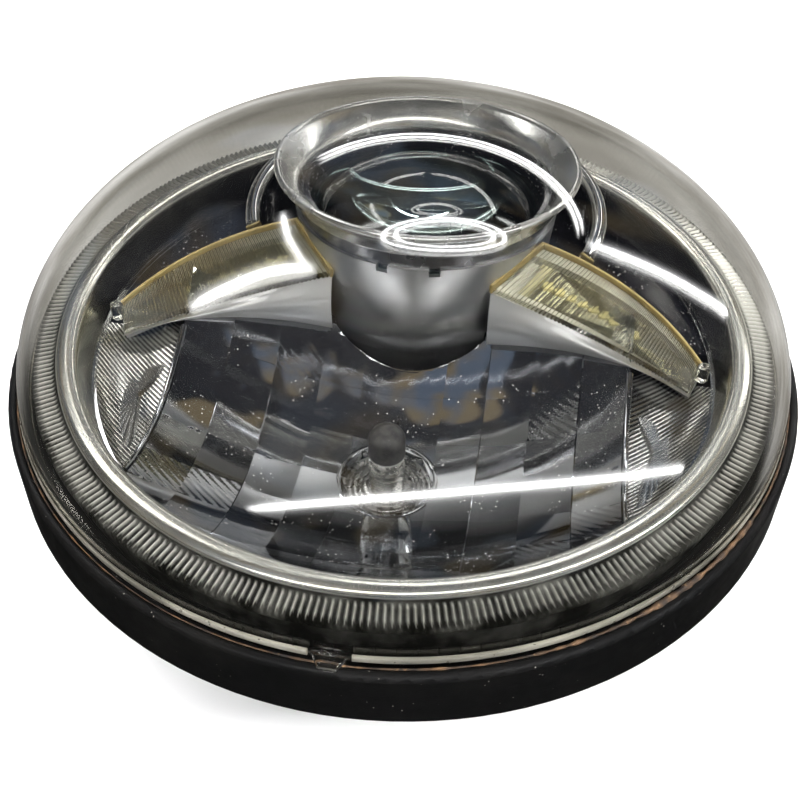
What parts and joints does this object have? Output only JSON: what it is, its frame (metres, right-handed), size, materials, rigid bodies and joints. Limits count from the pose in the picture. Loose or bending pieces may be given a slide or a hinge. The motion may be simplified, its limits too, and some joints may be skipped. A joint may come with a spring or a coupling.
{
  "type": "motorcycle headlight",
  "caption": "Round motorcycle headlight with a clear domed lens, a projector low beam in a chrome funnel, a facet high-beam reflector, slim daylight bars and a black rear housing.",
  "frame": {"origin": "under the middle of the four rear posts, on the plane of their ends", "axes": "+Z out of the lens along the beam, +Y towards the top of the lamp, +X to the right seen from the front"},
  "size_m": [0.217, 0.217, 0.1437],
  "materials": {
    "housing": "satin moulded",
    "brass": "machined",
    "clear_lens": "clear moulded",
    "sealant": "cured compound",
    "chrome": "bright",
    "reflector": "metallised",
    "black_gloss": "gloss moulded",
    "rubber": "matt",
    "projector_glass": "polished",
    "cast_alloy": "cast",
    "steel": "plated",
    "bulb_metal": "nickel plated",
    "bulb_glass": "clear with a dark tip",
    "bar_clear": "clear, aged yellow",
    "board": "solder mask",
    "diode": "phosphor",
    "cap": "moulded"
  },
  "bodies": {
    "root": {"rear_housing": "housing", "mount_inserts": "brass", "outer_lens": "clear_lens", "lens_sealant": "sealant", "chrome_bezel": "chrome", "high_beam_reflector": "reflector", "black_mask": "black_gloss", "barrel_collar": "chrome", "funnel_ring": "chrome", "barrel_gasket": "rubber", "barrel_shroud": "chrome", "projector_lens": "projector_glass", "lens_retainer": "black_gloss", "lens_carrier": "cast_alloy", "cutoff_shield": "steel", "projector_bowl": "cast_alloy", "projector_screws": "steel", "bezel_screws": "steel", "low_bulb_base": "bulb_metal", "low_bulb_capsule": "bulb_glass", "low_bulb_clip": "steel", "high_bulb_base": "bulb_metal", "high_bulb_capsule": "bulb_glass", "high_bulb_clip": "steel", "rear_cap_low": "cap", "rear_cap_high": "cap", "cap_seal_low": "rubber", "cap_seal_high": "rubber", "breather_cap": "rubber", "wire_inlet": "rubber", "drl_lens_left": "bar_clear", "drl_tray_left": "chrome", "drl_board_left": "board", "drl_leds_left": "diode", "drl_lens_right": "bar_clear", "drl_tray_right": "chrome", "drl_board_right": "board", "drl_leds_right": "diode"}
  },
  "joints": []
}
